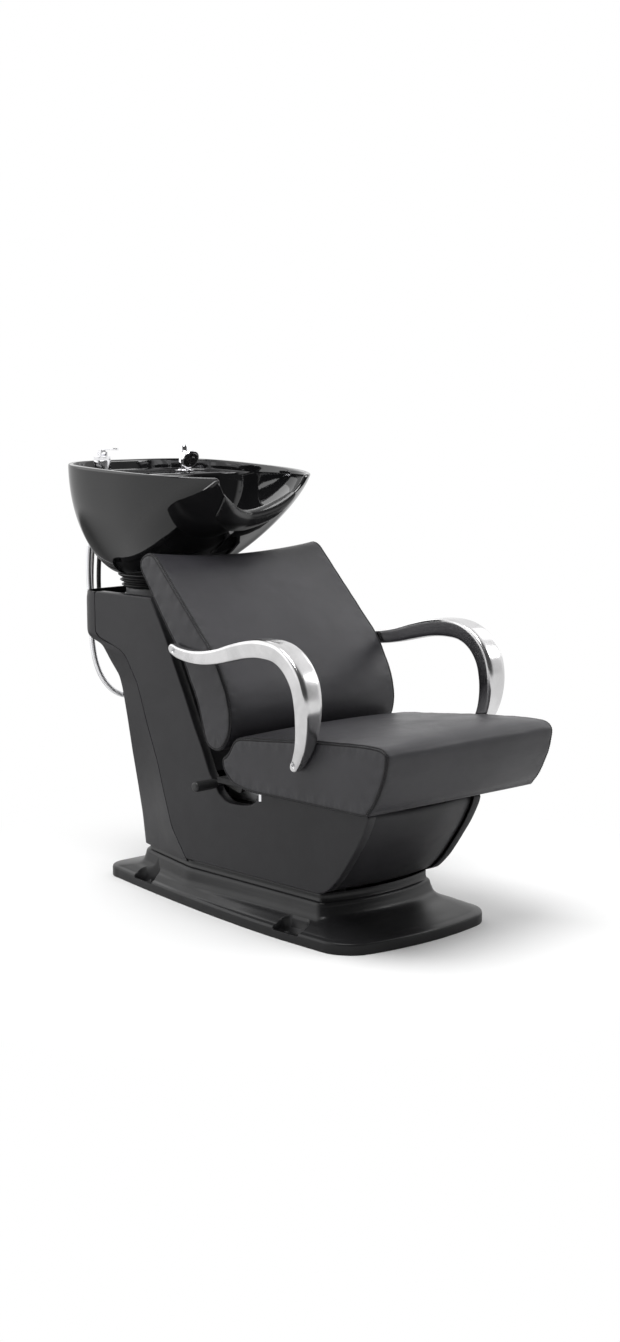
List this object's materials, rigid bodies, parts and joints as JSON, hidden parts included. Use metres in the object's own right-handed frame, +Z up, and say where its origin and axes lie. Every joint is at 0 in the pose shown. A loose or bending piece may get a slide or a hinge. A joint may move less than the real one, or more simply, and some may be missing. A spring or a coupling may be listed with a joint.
{
  "type": "shampoo chair",
  "caption": "Salon backwash unit: sliding padded armchair on a moulded pedestal with a tilting ceramic hair-wash basin, mixer tap and hand shower.",
  "frame": {"origin": "on the floor in the middle plane of the chair, 256 mm behind the front floor bolts and 326 mm ahead of the rear ones", "axes": "+Z up; +Y from the chair's front towards the basin, so a sitter faces -Y; +X towards the sitter's left"},
  "size_m": [0.6182, 1.212, 1.052],
  "materials": {
    "stand_plastic": "black moulded plastic with a fine satin grain",
    "leatherette": "black artificial leather on foam, satin, with a fine grain and stitched seams",
    "polished_alloy": "polished cast alloy",
    "chrome": "bright chrome plate",
    "black_steel": "black powder coat",
    "zinc_steel": "zinc plated",
    "runner_alloy": "plain extruded alloy",
    "glaze": "black high gloss glaze",
    "rubber": "black soft rubber",
    "collar_plastic": "light grey plastic",
    "pipe_plastic": "white pipe plastic",
    "board": "plywood with a black backing cloth",
    "gloss_black": "black gloss plastic",
    "steel_braid": "steel braid",
    "black_braid": "black braided rubber"
  },
  "bodies": {
    "stand": {"base_shell": "stand_plastic", "base_plate": "black_steel", "side_panel_right": "stand_plastic", "side_panel_left": "stand_plastic", "column_shell": "stand_plastic", "front_cover": "stand_plastic", "slope_cover": "stand_plastic", "head_deck": "stand_plastic", "neck_collar": "collar_plastic", "uprights": "black_steel", "seat_beams": "black_steel", "front_posts": "black_steel", "cross_bars": "black_steel", "yoke": "black_steel", "seat_rails": "zinc_steel", "deck_bolts": "black_steel", "hose_gland": "rubber", "waste_pipe": "pipe_plastic", "panel_screws": "zinc_steel"},
    "carriage": {"seat_board": "board", "runners": "runner_alloy", "seat_cushion": "leatherette", "back_board": "board", "back_brackets": "black_steel", "back_cushion": "leatherette", "armrest_right": "polished_alloy", "armrest_left": "polished_alloy", "arm_screws": "zinc_steel", "seat_bolts": "chrome", "lever_bearings": "black_steel"},
    "release_lever": {"lever_shaft": "black_steel", "lever_grip": "rubber"},
    "basin_unit": {"basin": "glaze", "basin_bracket": "black_steel", "hinge_pins": "zinc_steel", "neck_boot": "rubber", "neck_rest": "rubber", "drain_strainer": "chrome", "waste_tail": "pipe_plastic", "mixer_body": "chrome", "shower_holder": "chrome", "tap_nuts": "zinc_steel", "shower_hose": "chrome", "supply_hose_hot": "steel_braid", "supply_hose_cold": "black_braid"},
    "mixer_turn": {"mixer_cap": "chrome", "mixer_pin": "chrome"},
    "mixer_handle": {"mixer_lever": "chrome"},
    "shower": {"hand_shower": "chrome", "spray_face": "gloss_black"}
  },
  "joints": [
    {"name": "seat_slide", "type": "slide", "parent": "stand", "child": "carriage", "axis": [0, -1, 0], "range_m": [0, 0.12]},
    {"name": "lever_lift", "type": "hinge", "parent": "carriage", "child": "release_lever", "pos_m": [0, -0.01, 0.29], "axis": [1, 0, 0], "range_deg": [0, 20], "stiffness_Nm_per_rad": 1, "springref_deg": -28.65},
    {"name": "basin_tilt", "type": "hinge", "parent": "stand", "child": "basin_unit", "pos_m": [0, 0.454, 0.702], "axis": [-1, 0, 0], "range_deg": [0, 12], "deforming": ["neck_boot", "supply_hose_hot", "supply_hose_cold"]},
    {"name": "mixer_swivel", "type": "hinge", "parent": "basin_unit", "child": "mixer_turn", "pos_m": [-0.127, 0.515, 1.02], "axis": [0, 0, 1], "range_deg": [-45, 45]},
    {"name": "mixer_lift", "type": "hinge", "parent": "mixer_turn", "child": "mixer_handle", "pos_m": [-0.127, 0.515, 1.0353], "axis": [-1, 0, 0], "range_deg": [0, 25]},
    {"name": "shower_lift", "type": "slide", "parent": "basin_unit", "child": "shower", "axis": [0, 0, 1], "range_m": [0, 0.15], "deforming": ["shower_hose"]}
  ]
}
